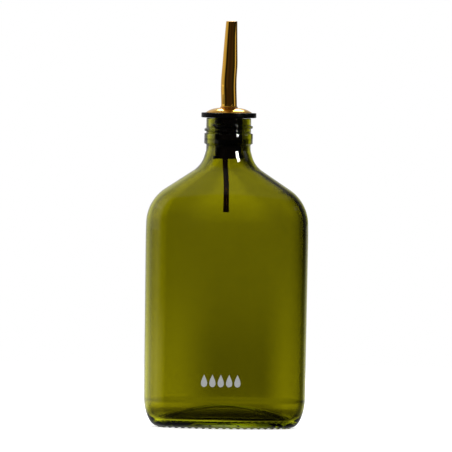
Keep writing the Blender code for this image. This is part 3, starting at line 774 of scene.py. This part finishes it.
# The surroundings differ by the kind of ray: shine for glossy rays, the seen ramps and cards
# for rays through the glass, a plain fill for the rest, and a white backdrop for the camera.
def makeWorld():
    world = bpy.data.worlds.new("studio")
    bpy.context.scene.world = world
    world.use_nodes = True
    world.cycles.sampling_method = "NONE"
    tree = world.node_tree
    tree.nodes.clear()
    output = tree.nodes.new("ShaderNodeOutputWorld")
    light = tree.nodes.new("ShaderNodeBackground")
    tree.links.new(light.outputs["Background"], output.inputs["Surface"])
    place = tree.nodes.new("ShaderNodeTexCoord")
    split = tree.nodes.new("ShaderNodeSeparateXYZ")
    tree.links.new(place.outputs["Generated"], split.inputs[0])
    around = mathNode(tree, "ARCTAN2", split.outputs["X"], split.outputs["Y"])
    around = mathNode(tree, "ADD", mathNode(tree, "DIVIDE", around, 2 * pi), 0.5)
    up = mathNode(tree, "MULTIPLY", mathNode(tree, "ARCSINE", split.outputs["Z"]), 180 / pi)

    gloss = degreeRamp(tree, around, shineBelow)
    for low, high, stops in shineBands:
        gloss = mixColor(tree, between(tree, up, low, high), gloss,
                         degreeRamp(tree, around, stops))
    gloss = mixColor(tree, between(tree, up, shineUnder["low"], shineUnder["high"]),
                     shineUnder["strength"], gloss)
    side = mathNode(tree, "MULTIPLY", mathNode(tree, "SUBTRACT", around, 0.5), 360.0)
    seen = mathNode(tree, "MULTIPLY", fineRamp(tree, side, seenAround),
                    fineRamp(tree, up, seenUp))
    for card in darkCards:
        kept = mathNode(tree, "SUBTRACT", 1.0, cardShare(tree, side, up, card))
        seen = mathNode(tree, "MULTIPLY", seen, kept)
    for card in paleCards:
        gain = mathNode(tree, "ADD", cardShare(tree, side, up, card), 1.0)
        seen = mathNode(tree, "MULTIPLY", seen, gain)
    path = tree.nodes.new("ShaderNodeLightPath")
    shade = mixColor(tree, path.outputs["Is Glossy Ray"], studio["fillLight"], gloss)
    shade = mixColor(tree, path.outputs["Is Transmission Ray"], shade, seen)
    shade = mixColor(tree, path.outputs["Is Camera Ray"], shade, studio["backdrop"])
    tree.links.new(shade, light.inputs["Color"])
    print("world ready")


# Width and height in degrees, seen from the middle at a distance; spread in degrees.
softBoxes = {
    "neck strip": {"around": 136, "up": 14.5, "wide": 14, "tall": 16, "shine": 1.2,
                   "distance": 0.1, "middle": (0.0052, -0.0127, 0.168), "spread": 24},
    "spout strip": {"around": 87, "up": 4.9, "wide": 22, "tall": 26, "shine": 0.05,
                    "distance": 0.2, "middle": (0, 0, 0.226), "spread": 50},
    "spout fill": {"around": -84, "up": 0, "wide": 40, "tall": 4.7, "shine": 0.27,
                   "distance": 0.2, "middle": (0, 0, 0.2035), "spread": 170},
    "back panel": {"around": 3, "up": 44, "wide": 26, "tall": 28, "shine": 6,
                   "distance": 1.2, "middle": (0, 0, 0.17), "spread": 180},
}


# A soft box that shows in glossy surfaces only. From the middle it lies in a direction round
# and up, and its sides are 2 d tan(angle / 2) at distance d.
def makeSoftBox(name, around, up, wide, tall, shine, distance, middle, spread):
    lamp = bpy.data.lights.new(name, "AREA")
    lamp.shape = "ELLIPSE" if spread == 180 else "RECTANGLE"
    lamp.size = 2 * distance * tan(radians(wide / 2))
    lamp.size_y = 2 * distance * tan(radians(tall / 2))
    lamp.energy = shine * pi * lamp.size * lamp.size_y
    lamp.spread = radians(spread)
    box = bpy.data.objects.new(name, lamp)
    bpy.context.scene.collection.objects.link(box)
    way = Vector((sin(radians(around)) * cos(radians(up)),
                  cos(radians(around)) * cos(radians(up)), sin(radians(up))))
    box.location = Vector(middle) + distance * way
    box.rotation_euler = way.to_track_quat("Z", "Y").to_euler()
    box.visible_diffuse = False
    box.visible_camera = False
    box.visible_transmission = False


# A flat grid of rings with its face upwards.
def layGrid(name, grid, material):
    rows, columns = grid.shape[:2]
    number = np.arange(rows * columns).reshape(rows, columns)
    after = np.roll(number, -1, axis=1)
    quads = np.stack([number[:-1], number[1:], after[1:], after[:-1]], -1).reshape(-1, 4)
    return addPiece(name, grid, quads, material)


def plainMaterial(name, color):
    material, tree, shader = newMaterial(name)
    shader.inputs["Base Color"].default_value = (*color, 1)
    shader.inputs["Roughness"].default_value = 1.0
    shader.inputs["Specular IOR Level"].default_value = 0.0
    return material, tree, shader


paleFloor = {"radius": 0.75, "color": (0.95, 0.95, 0.95), "glow": 0.55,
             "rings": 24, "columns": 96,
             "fade": [(0.35, 1.0), (0.7, 0.0)]}


# A round white floor that fades out before the frame shows its edge.
def makeFloor():
    share = np.linspace(0, 1, paleFloor["rings"])[:, None]
    turn = np.linspace(0, 2 * pi, paleFloor["columns"], endpoint=False)
    radius = paleFloor["radius"] * share
    grid = np.stack([radius * np.sin(turn), -radius * np.cos(turn), 0 * radius * turn], -1)
    material, tree, shader = plainMaterial("pale floor", paleFloor["color"])
    place = tree.nodes.new("ShaderNodeTexCoord")
    length = tree.nodes.new("ShaderNodeVectorMath")
    length.operation = "LENGTH"
    tree.links.new(place.outputs["Object"], length.inputs[0])
    fade = rampOf(tree, length.outputs["Value"], paleFloor["fade"])
    tree.links.new(fade, shader.inputs["Alpha"])
    shader.inputs["Emission Color"].default_value = (1, 1, 1, 1)
    shader.inputs["Emission Strength"].default_value = paleFloor["glow"]
    floor = layGrid("floor", grid, material)
    floor.visible_transmission = False
    floor.visible_glossy = False


# The near-black disc under the flask is painted shade for the shaded table there.
paintedShadePad = {"inset": 9.9 * mm, "height": 0.1 * mm, "rings": 12,
             "color": (0.01, 0.01, 0.01)}


# A dark disc under the flask, which only the glass shows: painted shade standing in for the table
# in the flask's shadow.
def makePaintedShadePad():
    turn = flaskTurns()
    across, deep = ovalPoint(turn)
    share = np.linspace(0, 1, paintedShadePad["rings"])[:, None]
    inset, height = paintedShadePad["inset"], paintedShadePad["height"]
    grid = np.stack([share * (across - inset * np.sin(turn)),
                     share * (deep + inset * np.cos(turn)), height + 0 * share * turn], -1)
    material = plainMaterial("painted table shade", paintedShadePad["color"])[0]
    shade = layGrid("paintedShadePad", grid, material)
    shade.visible_camera = False
    shade.visible_diffuse = False
    shade.visible_glossy = False
    shade.visible_shadow = False


def makeCamera():
    data = bpy.data.cameras.new("camera")
    data.lens = studio["lens"]
    data.sensor_width = studio["sensor"]
    data.clip_end = studio["farthest"]
    camera = bpy.data.objects.new("camera", data)
    bpy.context.scene.collection.objects.link(camera)
    look = Vector(studio["look"])
    camera.location = (look.x, -studio["camera"], studio["cameraHeight"])
    ahead = (look - camera.location).normalized()
    right = ahead.cross(Vector((0, 0, 1))).normalized()
    upward = right.cross(ahead)
    roll = radians(studio["roll"])
    rightRolled = right * cos(roll) + upward * sin(roll)
    upRolled = upward * cos(roll) - right * sin(roll)
    turned = Matrix((rightRolled, upRolled, -ahead)).transposed()
    camera.rotation_euler = turned.to_euler()
    bpy.context.scene.camera = camera


def setLook():
    scene = bpy.context.scene
    scene.view_settings.view_transform = "Standard"
    scene.view_settings.look = "None"
    scene.cycles.max_bounces = 24
    scene.cycles.glossy_bounces = 16
    scene.cycles.transmission_bounces = 24


setLook()
makeCamera()
makeFlask(oliveGlassMaterial())
makeStopper(blackRubberMaterial())
gold = polishedGoldMaterial()
makeDisc(gold)
makeSpout(gold)
makeAirTube(darkMetalMaterial())
pale = palePrintMaterial()
for number in range(drops["count"]):
    makeDrop(number, pale)
print("pieces ready")
makeWorld()
for name, values in softBoxes.items():
    makeSoftBox(name, **values)
makePaintedShadePad()
makeFloor()
print("studio ready")
